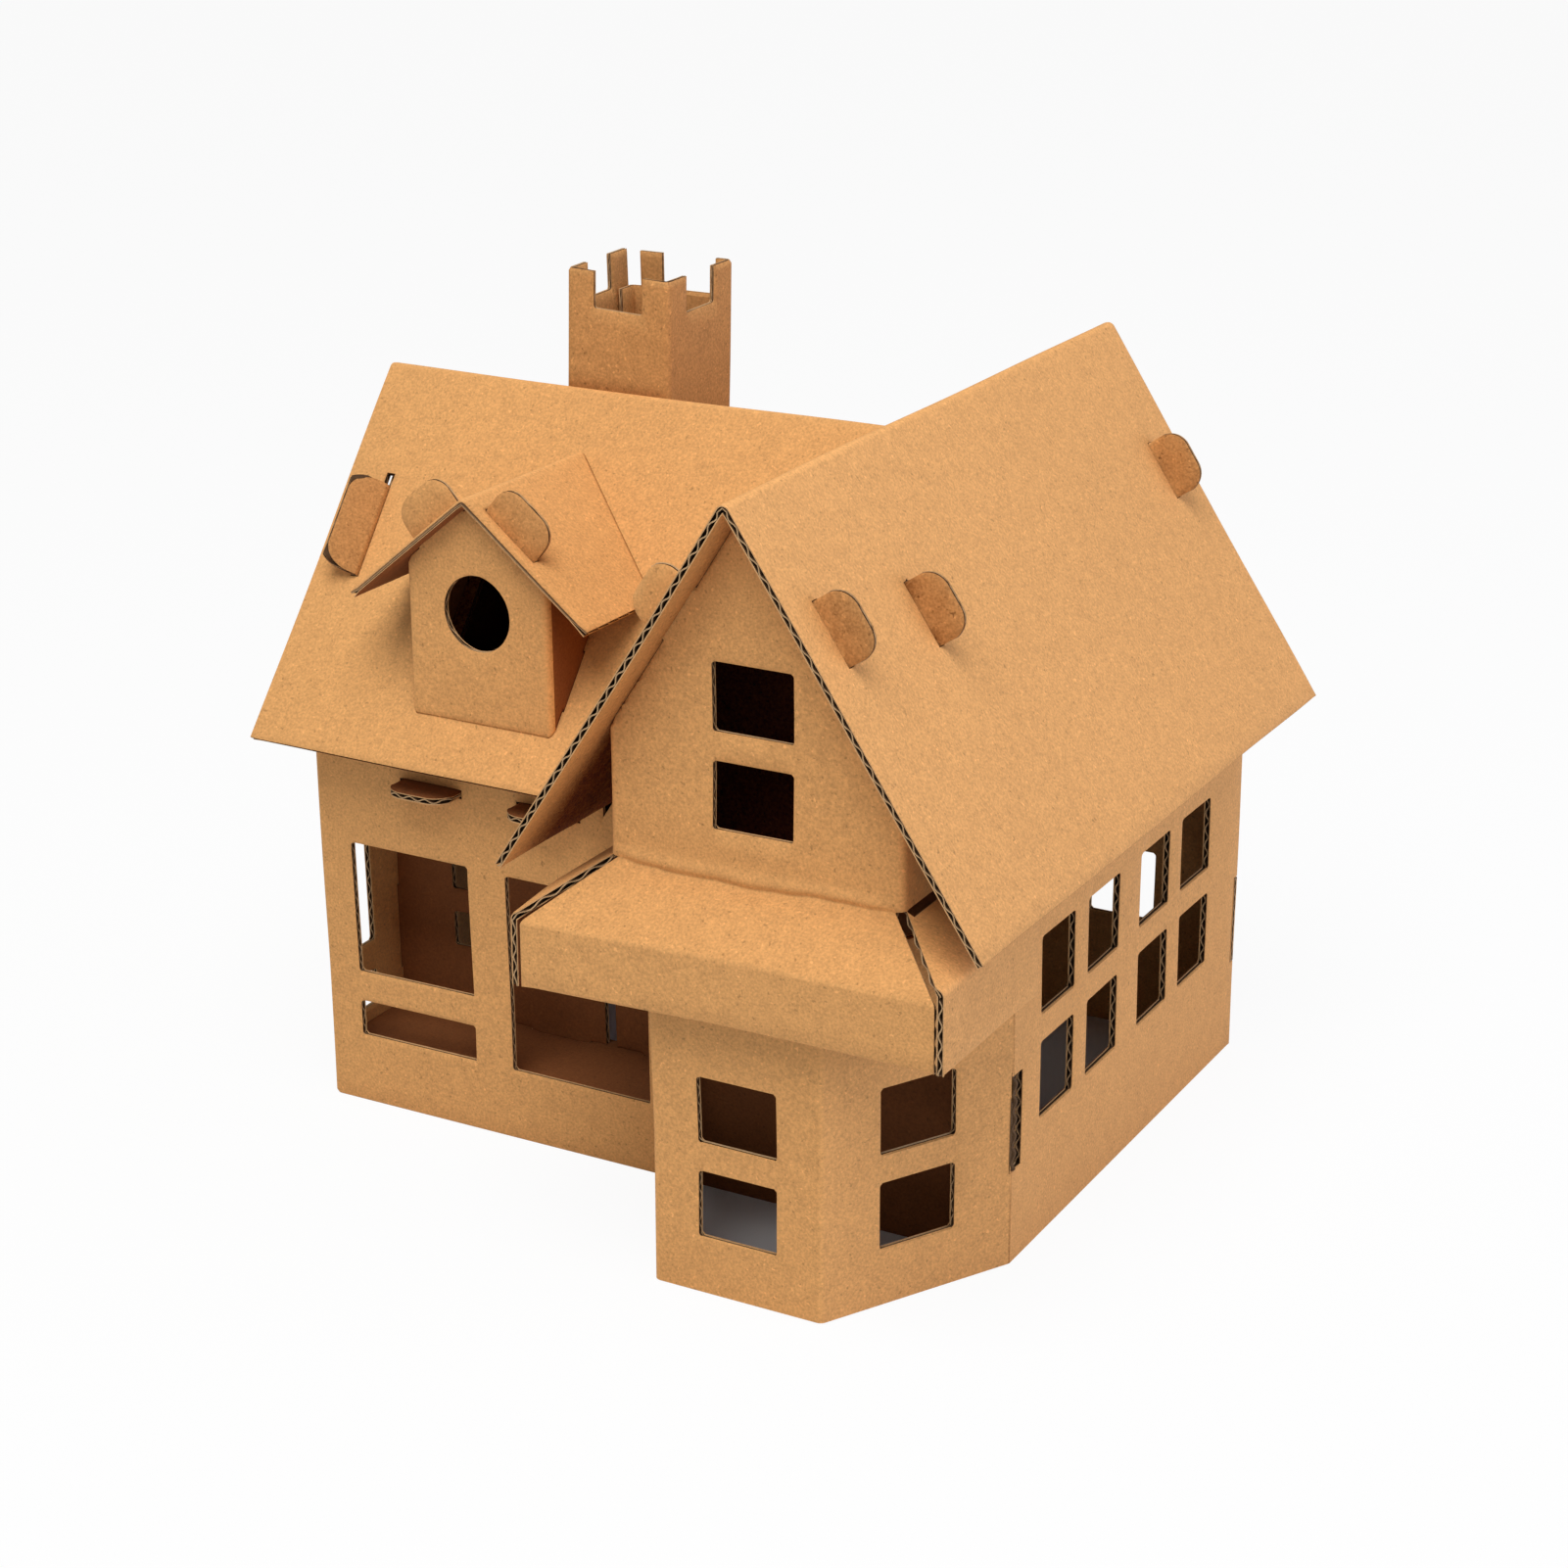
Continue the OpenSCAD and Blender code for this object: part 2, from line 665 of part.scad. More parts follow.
// A side flap and its fascia on the right, folded out of the gable's side and slit along the crease
module side_flap(half, pitch) {
  stub = 2 * board;
  difference() {
    intersection() {
      along_depth(-canopy_front, -flap_rear)
        fold_strip([[half, fascia_z], [half, gable_base_z - flap_len * sin(pitch)],
          [gable_half, gable_base_z], [gable_half, gable_base_z + stub]]);
      linear_extrude(reach) side_flap_plan(half);
    }
    translate([gable_half - cut, -gable_out + board, gable_base_z - cut])
      cube([cut + crease_slit, gable_out - board - flap_rear - crease_hold, cut + slot_play]);
  }
}

// Front gable with its folded-back sides, and the hipped canopy that is folded out of them
module front_gable_canopy() {
  face_y = -gable_out;
  fold_z = gable_base_z - front_drop;
  stub = 2 * board;
  color(kraft) {
    difference() {
      translate([wing_x, 0, gable_base_z])
        linear_extrude(blank_h - gable_base_z)
          fold_strip([[-gable_half, -seat_gap], [-gable_half, face_y], [gable_half, face_y],
            [gable_half, -seat_gap]]);
      roof_cuts();
      along_depth(face_y - cut, face_y + board + cut)
        for (j = [0, 1])
          translate([wing_x - gable_pane_w / 2, gable_pane_z + j * gable_pane_step])
            pane(gable_pane_w, gable_pane_h);
    }
    wing_tabs(gable_tab_at, face_y);
    translate([wing_x, 0, 0]) {
      // Front flap
      intersection() {
        along_width(-left_half, right_half)
          fold_strip([[face_y, gable_base_z + stub], [face_y, gable_base_z], [-canopy_front, fold_z],
            [-canopy_front, fascia_z]]);
        linear_extrude(reach) front_flap_plan();
      }
      // Side flaps and the tabs at the rear of the sides
      for (side = [0, 1])
        mirror([side, 0, 0]) {
          side_flap(side == 0 ? right_half : left_half, side == 0 ? right_flap_pitch : left_flap_pitch);
          translate([gable_half - board, -seat_gap - tab_root, gable_base_z + tab_root])
            cube([board, tab_root + seat_gap + board + tab_tail, hidden_tab]);
        }
    }
  }
}

// Wing roof, folded at the ridge, with slots for the three gables under it
module wing_roof() {
  eave_z = wing_ridge_z - wing_slope * sin(wing_pitch);
  color(kraft)
    difference() {
      along_depth(-wing_front, wing_d + wing_rear)
        fold_strip([[wing_x + wing_run, eave_z], [wing_x, wing_ridge_z], [wing_eave_x, eave_z]]);
      wing_slots(gable_tab_at, -gable_out);
      wing_slots(wall_tab_at, 0);
      wing_slots(wall_tab_at, wing_d - board);
    }
}

// Feet of the dormer and of the chimney: tabs and slots square to the main roof
dormer_foot_at = (main_ridge_y + dormer_out) / cos(main_pitch) - hidden_tab;
chimney_foot_at = (chimney_back + chimney_d / 2) / cos(main_pitch);
module foot_shape(at) {
  translate([at - hidden_tab / 2, -board - tab_tail]) square([hidden_tab, board + tab_tail + tab_root]);
}

// Main roof, folded at the ridge. Its right ends are cut slantwise to lie against the wing roof.
module main_roof() {
  eave_z = main_ridge_z - main_slope * sin(main_pitch);
  color(kraft)
    difference() {
      along_width(-main_rake, wing_x)
        fold_strip([[main_ridge_y + main_run, eave_z], [main_ridge_y, main_ridge_z],
          [main_ridge_y - main_run, eave_z]]);
      under_wing_roof(seat_gap);
      on_main_slopes(-slot_play, board + slot_play) slot_shape(rake_tab_at, rake_tab_len, rake_slot_spare);
      // Opening under the dormer, and the slots for its two feet
      on_main_slopes(dormer_x - dormer_well_w / 2, dormer_x + dormer_well_w / 2, [0])
        slot_shape(dormer_well_at, dormer_well_len);
      for (x = [dormer_x - dormer_w / 2, dormer_x + dormer_w / 2 - board])
        on_main_slopes(x - slot_play, x + board + slot_play, [0]) slot_shape(dormer_foot_at, hidden_tab);
      for (x = [chimney_x, chimney_x + chimney_w - board])
        on_main_slopes(x - slot_play, x + board + slot_play, [1]) slot_shape(chimney_foot_at, hidden_tab);
    }
}

// Dormer face with a round window and two sides folded back onto the main roof
module dormer_body() {
  left_x = dormer_x - dormer_w / 2;
  right_x = dormer_x + dormer_w / 2;
  color(kraft) {
    difference() {
      linear_extrude(blank_h)
        fold_strip([[left_x, main_ridge_y], [left_x, -dormer_out], [right_x, -dormer_out],
          [right_x, main_ridge_y]]);
      under_main_roof(seat_gap);
      along_depth(-reach, reach) above_ridge(dormer_x, dormer_ridge_z, dormer_pitch, -board - seat_gap);
      translate([dormer_x, board - dormer_out + cut, dormer_hole_z])
        rotate([90, 0, 0]) cylinder(d = dormer_hole_d, h = board + 2 * cut);
    }
    on_slopes(dormer_x, dormer_ridge_z, dormer_pitch, -dormer_out, -dormer_out + board)
      tab_shape(dormer_tab_at, dormer_tab_len, board + seat_gap + tab_root, tab_proud);
    for (x = [left_x, right_x - board])
      on_main_slopes(x, x + board, [0]) foot_shape(dormer_foot_at);
  }
}

// Dormer roof, folded at its ridge and cut to the main roof
module dormer_roof() {
  run = dormer_slope * cos(dormer_pitch);
  eave_z = dormer_ridge_z - dormer_slope * sin(dormer_pitch);
  color(kraft)
    difference() {
      along_depth(-dormer_out - dormer_over, main_ridge_y)
        fold_strip([[dormer_x + run, eave_z], [dormer_x, dormer_ridge_z], [dormer_x - run, eave_z]]);
      under_main_roof(seat_gap);
      on_slopes(dormer_x, dormer_ridge_z, dormer_pitch, -dormer_out - slot_play,
          -dormer_out + board + slot_play)
        slot_shape(dormer_tab_at, dormer_tab_len);
    }
}

// Chimney: four walls folded into a tube and closed by a glue flap, notched at the top,
// standing on the rear slope with two feet through it
module chimney() {
  left_x = chimney_x;
  right_x = chimney_x + chimney_w;
  front_y = main_ridge_y + chimney_back;
  rear_y = front_y + chimney_d;
  flap_x = left_x + board + seat_gap;
  notch_x = left_x + (chimney_w - crenel_w) / 2;
  notch_y = front_y + (chimney_d - crenel_w) / 2;
  notch_z = chimney_top - crenel_d;
  color(kraft_shade) {
    difference() {
      linear_extrude(chimney_top)
        fold_strip([[left_x, rear_y], [left_x, front_y], [right_x, front_y], [right_x, rear_y],
          [flap_x, rear_y], [flap_x, rear_y - glue_flap]]);
      under_main_roof(seat_gap);
      along_depth(front_y - cut, front_y + board + cut) translate([notch_x, notch_z]) pane(crenel_w, reach);
      along_depth(rear_y - board - cut, rear_y + cut)
        translate([notch_x + seam_shift, notch_z]) pane(crenel_w, reach);
      along_width(left_x - cut, right_x + cut) translate([notch_y, notch_z]) pane(crenel_w, reach);
      // The glue flap and the corner beside it end below the notches
      translate([flap_x - seat_gap / 2, rear_y - glue_flap - cut, notch_z])
        cube([seam_shift, glue_flap + 2 * cut, reach]);
    }
    for (x = [left_x, right_x - board])
      on_main_slopes(x, x + board, [1]) foot_shape(chimney_foot_at);
  }
}

module placed() { translate([-centre_x, -centre_y, 0]) children(); }

placed() front_wall();
placed() bay_and_side_wall();
placed() rear_wall();
placed() attic_floor();
placed() porch_wall();
placed() porch_deck();
placed() front_gable_canopy();
placed() wing_roof();
placed() main_roof();
placed() dormer_body();
placed() dormer_roof();
placed() chimney();
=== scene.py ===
import math

import bmesh
import bpy
from mathutils import Matrix, Vector, noise
from mathutils.bvhtree import BVHTree


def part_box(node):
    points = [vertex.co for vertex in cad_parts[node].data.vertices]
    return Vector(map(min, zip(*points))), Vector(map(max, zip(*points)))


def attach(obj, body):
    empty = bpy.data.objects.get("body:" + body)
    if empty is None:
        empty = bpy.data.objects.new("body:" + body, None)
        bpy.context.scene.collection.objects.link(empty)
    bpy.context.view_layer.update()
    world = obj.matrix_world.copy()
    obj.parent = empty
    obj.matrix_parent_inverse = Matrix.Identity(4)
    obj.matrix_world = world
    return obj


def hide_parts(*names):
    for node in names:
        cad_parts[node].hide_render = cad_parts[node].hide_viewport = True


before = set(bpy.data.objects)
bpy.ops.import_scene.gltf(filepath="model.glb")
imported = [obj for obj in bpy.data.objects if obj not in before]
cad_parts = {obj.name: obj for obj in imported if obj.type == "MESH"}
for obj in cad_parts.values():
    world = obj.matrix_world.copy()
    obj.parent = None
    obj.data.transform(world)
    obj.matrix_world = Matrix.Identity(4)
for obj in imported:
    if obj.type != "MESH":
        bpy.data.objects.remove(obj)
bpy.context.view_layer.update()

# Front wall and left gable: one sheet of single-wall kraft board, die cut and folded at the corner.
# The board is two brown liners glued to a fluted core, so a cut edge shows two pale liner lines with the
# dark flutes between them. Its tabs stand in the slots of the two roofs.
mm = 0.001
board_t = 3.0 * mm
liner_t = 0.42 * mm
core_t = 0.48 * mm
flute_pitch = 6.7 * mm
flute_cuts = 6
bend_step = 9.0 * mm
outer_side, inner_side, core_layer, liner_rim, flute_rim = range(5)
level = None
along_x, along_y, upright = Vector((1, 0, 0)), Vector((0, 1, 0)), Vector((0, 0, 1))


class Tone:
    """A value of a board's finish. Python arithmetic on it adds the nodes that work it out."""

    def __init__(self, tree, socket=None):
        self.tree = tree
        self.socket = socket

    def node(self, kind, settings, inputs, out=0):
        made = self.tree.nodes.new(kind)
        for key, value in settings.items():
            setattr(made, key, value)
        for key, value in inputs.items():
            if isinstance(value, Tone):
                self.tree.links.new(value.socket, made.inputs[key])
            else:
                made.inputs[key].default_value = value
        return Tone(self.tree, made.outputs[out])

    def maths(self, operation, *values):
        return self.node("ShaderNodeMath", {"operation": operation}, dict(enumerate(values)))

    def __add__(self, other):
        return self.maths("ADD", self, other)

    def __radd__(self, other):
        return self.maths("ADD", other, self)

    def __sub__(self, other):
        return self.maths("SUBTRACT", self, other)

    def __rsub__(self, other):
        return self.maths("SUBTRACT", other, self)

    def __mul__(self, other):
        return self.maths("MULTIPLY", self, other)

    def __rmul__(self, other):
        return self.maths("MULTIPLY", other, self)

    def between(self, low, high):
        """0 below low, 1 above high and smooth between them."""
        return self.node(
            "ShaderNodeMapRange", {"interpolation_type": "SMOOTHSTEP"},
            {"Value": self, "From Min": low, "From Max": high},
        )


def paper(name, colour, grain, flecks, rough):
    """Unbleached paper: cloudy pulp, fine grain, and sparse dark and pale specks.

    The board's "fold" attribute paints a highlight along folds, and darkens it where scored or toned.
    """
    cloud_gain, mottle_gain, pulp_gain, fold_highlight_gain = 0.10, 1.2 * grain, 3.2 * grain, 0.11
    score_and_shade_fade, darkest = (0.45, 0.53, 0.60), 0.02
    finish = bpy.data.materials.new(name)
    finish.use_nodes = True
    tree = finish.node_tree
    shader = tree.nodes["Principled BSDF"]
    sheet = Tone(tree)
    place = sheet.node("ShaderNodeTexCoord", {}, {}, "Object")

    def speckle(scale, detail, roughness=0.5, shift=0.0):
        at = sheet.node("ShaderNodeVectorMath", {"operation": "ADD"}, {0: place, 1: (shift, shift, shift)})
        return sheet.node(
            "ShaderNodeTexNoise", {},
            {"Vector": at, "Scale": scale, "Detail": detail, "Roughness": roughness}, "Fac",
        )

    cloud = speckle(scale=14.0, detail=2.0) - 0.5
    mottle = speckle(scale=190.0, detail=3.0, roughness=0.6, shift=0.3) - 0.5
    pulp = speckle(scale=1000.0, detail=2.0, roughness=0.6, shift=0.7) - 0.5
    dark = speckle(scale=620.0, detail=1.0, shift=1.1).between(0.68, 0.76)
    pale = speckle(scale=560.0, detail=1.0, shift=1.9).between(0.69, 0.77)
    specks = pale - dark
    fold = sheet.node("ShaderNodeAttribute", {"attribute_name": "fold"}, {}, "Fac")
    # Above 0 the mark is a painted highlight along folds; below 0 it is a scored fold or a tone, mostly
    # painted shade.
    painted_mark = fold.maths("MAXIMUM", fold, 0.0)
    darkened = fold.maths("MAXIMUM", 0.0 - fold, 0.0)
    light = 1.0 + cloud * cloud_gain + mottle * mottle_gain + pulp * pulp_gain + specks * flecks
    light = light + painted_mark * fold_highlight_gain
    # Painted shade and scores: the lower the mark, the darker and redder the paper.
    shade = [light.maths("MAXIMUM", light - darkened * fade, darkest) for fade in score_and_shade_fade]
    shade = sheet.node("ShaderNodeCombineXYZ", {}, dict(enumerate(shade)))
    shown = sheet.node("ShaderNodeVectorMath", {"operation": "MULTIPLY"}, {0: colour, 1: shade})
    tree.links.new(shown.socket, shader.inputs["Base Color"])
    height = pulp * 0.5 + mottle * 0.5 + specks * 0.2
    bump = sheet.node("ShaderNodeBump", {}, {"Strength": 0.35, "Distance": 0.4 * mm, "Height": height})
    tree.links.new(bump.socket, shader.inputs["Normal"])
    shader.inputs["Roughness"].default_value = rough
    shader.inputs["Specular IOR Level"].default_value = 0.25
    return finish


kraft_outside = paper("kraft_liner_outside", (0.69, 0.347, 0.12), grain=0.25, flecks=0.27, rough=0.82)
# The inner liner is painted far darker than the outer one, as painted shade for the dim inside of the
# house.
kraft_inside_shade = paper("kraft_liner_inside_painted_shade", (0.25, 0.085, 0.025), grain=0.24, flecks=0.25, rough=0.85)
# The fluted core, and the backs of the liners that face it, are painted near black: painted shade inside
# the flutes.
kraft_core_shade = paper("kraft_fluted_core_painted_shade", (0.11, 0.06, 0.028), grain=0.16, flecks=0.10, rough=0.9)
kraft_cut = paper("kraft_cut_liner", (0.60, 0.34, 0.15), grain=0.22, flecks=0.10, rough=0.9)
kraft_flute_end = paper("kraft_cut_flutes", (0.47, 0.30, 0.155), grain=0.22, flecks=0.10, rough=0.9)
board_finish = [kraft_outside, kraft_inside_shade, kraft_core_shade, kraft_cut, kraft_flute_end]
# Boards inside the house show the painted-shade liner on both sides.
indoor_shade_finish = [kraft_inside_shade, kraft_inside_shade, kraft_core_shade, kraft_cut, kraft_flute_end]


def ply_axis(face, run):
    """The direction in the sheet that crosses its flutes: up the sheet where the flutes are level."""
    run_least, up_least = 0.3, 0.05
    if run is not None:
        flat = run - face.normal * run.dot(face.normal)
        if flat.length > run_least:
            return flat.normalized()
    up = upright - face.normal * face.normal.z
    return up.normalized() if up.length > up_least else along_x


def sliced(bm, faces, axis, cuts):
    """Cuts faces where axis reaches each of cuts, halving the list each time, and returns the pieces."""
    if not cuts or not faces:
        return faces
    middle = len(cuts) // 2
    near = {part for face in faces for part in (face, *face.edges, *face.verts)}
    done = bmesh.ops.bisect_plane(
        bm, geom=list(near), plane_co=axis * cuts[middle], plane_no=axis, dist=1e-7,
    )
    pieces = [part for part in done["geom"] if isinstance(part, bmesh.types.BMFace)]
    below = [face for face in pieces if face.calc_center_median().dot(axis) < cuts[middle]]
    above = [face for face in pieces if face.calc_center_median().dot(axis) >= cuts[middle]]
    return sliced(bm, below, axis, cuts[:middle]) + sliced(bm, above, axis, cuts[middle + 1:])


def steps(faces, axis, step):
    """Every whole step of axis inside the faces."""
    reach = [vert.co.dot(axis) for face in faces for vert in face.verts]
    return [i * step for i in range(math.ceil(min(reach) / step), math.floor(max(reach) / step) + 1)]


weld_gap = 0.01 * mm
facing_reach = 1.35 * board_t
facing_turn, smooth_turn = -0.93, 0.9


def opened(bm):
    """Takes a solid sheet's die-cut edges away and marks its outer and its inner side."""
    bm.faces.ensure_lookup_table()
    tree = BVHTree.FromBMesh(bm)
    facing = {}
    for face in bm.faces:
        start = face.calc_center_median() - face.normal * weld_gap
        _, normal, index, _ = tree.ray_cast(start, -face.normal, facing_reach)
        if index is not None and normal.dot(face.normal) < facing_turn:
            facing[face] = bm.faces[index]
    kept = set(facing)
    grow = list(kept)
    while grow:
        face = grow.pop()
        for edge in face.edges:
            for other in edge.link_faces:
                if other not in kept and other.normal.dot(face.normal) > smooth_turn:
                    kept.add(other)
                    grow.append(other)
    side_of = {}
    sides = []
    for face in bm.faces:
        if face not in kept or face in side_of:
            continue
        side_of[face] = len(sides)
        grow, side = [face], []
        while grow:
            one = grow.pop()
            side.append(one)
            for edge in one.edges:
                for other in edge.link_faces:
                    if other in kept and other not in side_of:
                        side_of[other] = len(sides)
                        grow.append(other)
        sides.append(side)
    area = [sum(face.calc_area() for face in side) for side in sides]
    for i, side in enumerate(sides):
        across = [side_of[facing[face]] for face in side if face in facing and facing[face] in side_of]
        back = max(set(across), key=across.count) if across else i
        for face in side:
            face.material_index = outer_side if (area[i], i) > (area[back], back) else inner_side
    bmesh.ops.delete(bm, geom=[face for face in bm.faces if face not in kept], context="FACES")


crush_w = 1.3 * mm
panel_least = 30 * mm * mm
flatten_rounds = 12


def trimmed(bm, width):
    """Runs a narrow strip round every cut edge, still flat in its panels, for the die to squash."""
    planes = {
        face: (face.calc_center_median(), face.normal.copy())
        for face in bm.faces if face.calc_area() > panel_least
    }
    ring = bmesh.ops.inset_region(
        bm, faces=list(bm.faces), use_boundary=True, use_even_offset=True, thickness=width,
    )["faces"]
    for vert in {vert for face in ring for vert in face.verts if not vert.is_boundary}:
        beside = [planes[face] for face in vert.link_faces if face in planes]
        for middle, normal in beside * flatten_rounds:
            vert.co -= normal * (vert.co - middle).dot(normal)
    fresh = set(ring)
    for face in ring:
        inner = [near for edge in face.edges for near in edge.link_faces if near not in fresh]
        if inner:
            face.material_index = inner[0].material_index


crush_t = 0.75 * mm
cut_pinch, tab_pinch = 0.25, 0.9
across_gain = 1.6


def pinched(bm, run, squashed):
    """Marks how far each edge is squashed: nearly flat along the flutes, and open across them.

    Where squashed says so, as on tabs, an edge across the flutes is nearly flat as well.
    """
    mark = bm.verts.layers.float.new("pinch")
    for vert in bm.verts:
        edges = [edge for edge in vert.link_edges if len(edge.link_faces) == 1]
        across = [
            abs((edge.verts[0].co - edge.verts[1].co).normalized().dot(ply_axis(edge.link_faces[0], run)))
            for edge in edges
        ]
        least = tab_pinch if squashed and squashed(vert.co) else cut_pinch
        vert[mark] = max(least, 1 - min(1.0, across_gain * max(across))) if across else 0.0


fold_least, fold_most = math.radians(1.5), math.radians(40)


def creased(bm, darkened, toned):
    """Marks how deep in a fold each point lies: 0 on flat board to 1 along the fold, or to -1 if scored.

    A tone from toned takes its place. Tones are negative, and the lower they are, the darker the paper.
    """
    mark = bm.verts.layers.float.new("fold")
    bent = set()
    for edge in bm.edges:
        if len(edge.link_faces) == 2 and fold_least < edge.calc_face_angle() < fold_most:
            bent.update(edge.verts)
    folds = {face for face in bm.faces if bent.issuperset(face.verts)}
    depth = {vert: 0 for vert in bent if not folds.issuperset(vert.link_faces)}
    ring = set(depth)
    while ring:
        ring = {edge.other_vert(vert) for vert in ring for edge in vert.link_edges} & bent - set(depth)
        depth.update({vert: max(depth.values()) + 1 for vert in ring})
    for vert, rows in depth.items():
        vert[mark] = rows / max(1, max(depth.values())) * (-1 if darkened and darkened(vert.co) else 1)
    for vert in bm.verts if toned else []:
        inner = any(face.material_index == inner_side for face in vert.link_faces)
        tone = toned(vert.co, inner_side if inner else outer_side, vert.is_boundary)
        if tone is not None:
            vert[mark] = tone


def thickened(bm, faces, thick, rim):
    """Gives a layer of paper its thickness, inwards. The strip round its edge is a fresh cut."""
    before = set(bm.faces)
    parts = {part for face in faces for part in (face, *face.edges)}
    grown = bmesh.ops.extrude_face_region(bm, geom=list(parts), use_keep_orig=True)["geom"]
    back = [part for part in grown if isinstance(part, bmesh.types.BMFace)]
    for vert in [part for part in grown if isinstance(part, bmesh.types.BMVert)]:
        vert.co = vert.co - vert.normal * thick
    edge_strip = set(bm.faces) - before - set(back)
    bmesh.ops.reverse_faces(bm, faces=[*faces, *back, *edge_strip])
    for face in back:
        face.material_index = core_layer
    for face in edge_strip:
        face.material_index = rim


def share(amount):
    return min(1.0, max(0.0, amount))


bend_seed = 269
bend_size, bend_depth, bend_foot = 95 * mm, 0.9 * mm, 60 * mm
noise.seed_set(bend_seed)


def settled(point):
    """Board never stays quite flat. All sheets take the same slow bend, so those that touch still do."""
    return point + noise.noise_vector(point / bend_size) * (bend_depth * share(point.z / bend_foot))


flat_turn, sharp_turn = math.radians(0.5), math.radians(38)
same_run = 0.9995
fluted_least = 150 * mm * mm


def corrugated(
    node, run=level, core_on=outer_side, indoors=False, trim=crush_w, close=(),
    shaped=None, shows=None, darkened=None, toned=None, squashed=None,
):
    """Rebuilds a solid sheet as real board: two liners, and a fluted core that shows at cuts across it.

    The core's flutes cross run, and its wave starts from the side core_on. The cuts of close are added
    where shaped bends the sheet, and shows picks the liner that a place has.
    """
    bm = bmesh.new()
    bm.from_mesh(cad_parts[node].data)
    bmesh.ops.remove_doubles(bm, verts=bm.verts, dist=weld_gap)
    opened(bm)
    bmesh.ops.dissolve_limit(bm, angle_limit=flat_turn, verts=bm.verts, edges=bm.edges)
    trimmed(bm, trim)
    for axis in (along_x, along_y, upright):
        sliced(bm, list(bm.faces), axis, steps(bm.faces, axis, bend_step))
    for axis, cuts in close:
        sliced(bm, list(bm.faces), axis, cuts)
    bm.normal_update()
    creased(bm, darkened, toned)
    pinched(bm, run, squashed)

    source = [face for face in bm.faces if face.material_index == core_on]
    copied = bmesh.ops.duplicate(bm, geom=source)["geom"]
    core = [part for part in copied if isinstance(part, bmesh.types.BMFace)]
    runs = []
    for face in core:
        axis = ply_axis(face, run)
        for known, group in runs:
            if known.dot(axis) > same_run:
                group.append(face)
                break
        else:
            runs.append((axis, [face]))
    crossing = {}
    for axis, group in runs:
        flat = sum(face.calc_area() for face in group) > fluted_least
        pieces = sliced(bm, group, axis, steps(group, axis, flute_pitch / flute_cuts)) if flat else group
        for face in pieces:
            face.material_index = core_layer
            crossing[face] = axis if flat else None

    bm.normal_update()
    room = board_t - 2 * liner_t - core_t
    pinch = bm.verts.layers.float["pinch"]
    moves = {vert: vert.co - vert.normal * (crush_t * vert[pinch]) for vert in bm.verts}
    waved = set()
    for face in crossing:
        for vert in face.verts:
            if vert in waved:
                continue
            waved.add(vert)
            axes = [crossing[near] for near in vert.link_faces if crossing.get(near) is not None]
            wave = [1 - math.cos(2 * math.pi * vert.co.dot(axis) / flute_pitch) for axis in axes]
            swing = sum(wave) / len(wave) / 2 - 0.5 if wave else 0.0
            depth = liner_t + room * (0.5 + swing * (1 - vert[pinch]))
            moves[vert] = vert.co - vert.normal * depth
    for vert, place in moves.items():
        vert.co = place

    bm.normal_update()
    plies = [[face for face in bm.faces if face.material_index == layer] for layer in range(3)]
    for ply, thick, rim in zip(plies, (liner_t, liner_t, core_t), (liner_rim, liner_rim, flute_rim)):
        thickened(bm, ply, thick, rim)

    for ply in plies[:2] if shows else []:
        for face in ply:
            face.material_index = shows(face.calc_center_median(), face.material_index)

    for vert in bm.verts:
        vert.co = settled(shaped(vert.co) if shaped else vert.co)
    for face in bm.faces:
        face.smooth = True
    mesh = bpy.data.meshes.new(node + "_board")
    bm.to_mesh(mesh)
    bm.free()
    mesh.set_sharp_from_angle(angle=sharp_turn)
    for finish in indoor_shade_finish if indoors else board_finish:
        mesh.materials.append(finish)
    sheet = bpy.data.objects.new(node + "_board", mesh)
    bpy.context.scene.collection.objects.link(sheet)
    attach(sheet, "root")
    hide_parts(node)
    return sheet


wing_ridge = Vector((73.46, 0, 289.5)) * mm
main_ridge = Vector((0, 12.64, 275.5)) * mm
wing_fall, main_fall = math.tan(math.radians(56.6)), math.tan(math.radians(50))
wing_half = 95 * mm
wing_inside_x = 6 * mm
main_tabs_x = -10 * mm
gable_inside_x = -140 * mm
attic_z = 142 * mm
tab_root = 8 * mm
slot_depth = 4.5 * mm
# Tones painted into the paper: tab_tone darkens the tabs, and the deep one is painted shade.
tab_tone, deep_painted_shade = -0.65, -1.7


def main_roof_z(point):
    return main_ridge.z - abs(point.y - main_ridge.y) * main_fall


def on_tab(point, root=tab_root):
    """True on a tab, from root under the top of its roof. Its slot squashes its edge, and the tab is toned
    darker.
    """
    aside = abs(point.x - wing_ridge.x)
    over_wing = aside < wing_half and point.z + root > wing_ridge.z - aside * wing_fall
    over_main = point.x < main_tabs_x and point.z + root > main_roof_z(point)
    return over_wing or over_main


def darker_tab(point, side, rim):
    """The tabs through the roofs' outer slopes are toned darker."""
    outer = point.x > wing_ridge.x or point.x < gable_inside_x
    return tab_tone if outer and on_tab(point, slot_depth) else None


def front_wall_squash(point):
    """The left gable's tabs keep open edges. Those under the wing roof are squashed by their slots."""
    return point.x > gable_inside_x and on_tab(point)


def front_wall_side(point, side):
    """Inside the wing both liners are the darker one, painted shade, and so is the inner liner over the
    attic floor.
    """
    if on_tab(point):
        return outer_side
    if point.x > wing_inside_x:
        return inner_side
    return side if point.z > attic_z else outer_side


def front_wall_tone(point, side, rim):
    """The tabs are toned darker, and the part that stands in the wing's attic is painted deep shade."""
    if on_tab(point, slot_depth):
        return darker_tab(point, side, rim)
    return deep_painted_shade if point.x > wing_inside_x and point.z > attic_z else None


corrugated("front_wall", shows=front_wall_side, toned=front_wall_tone, squashed=front_wall_squash)

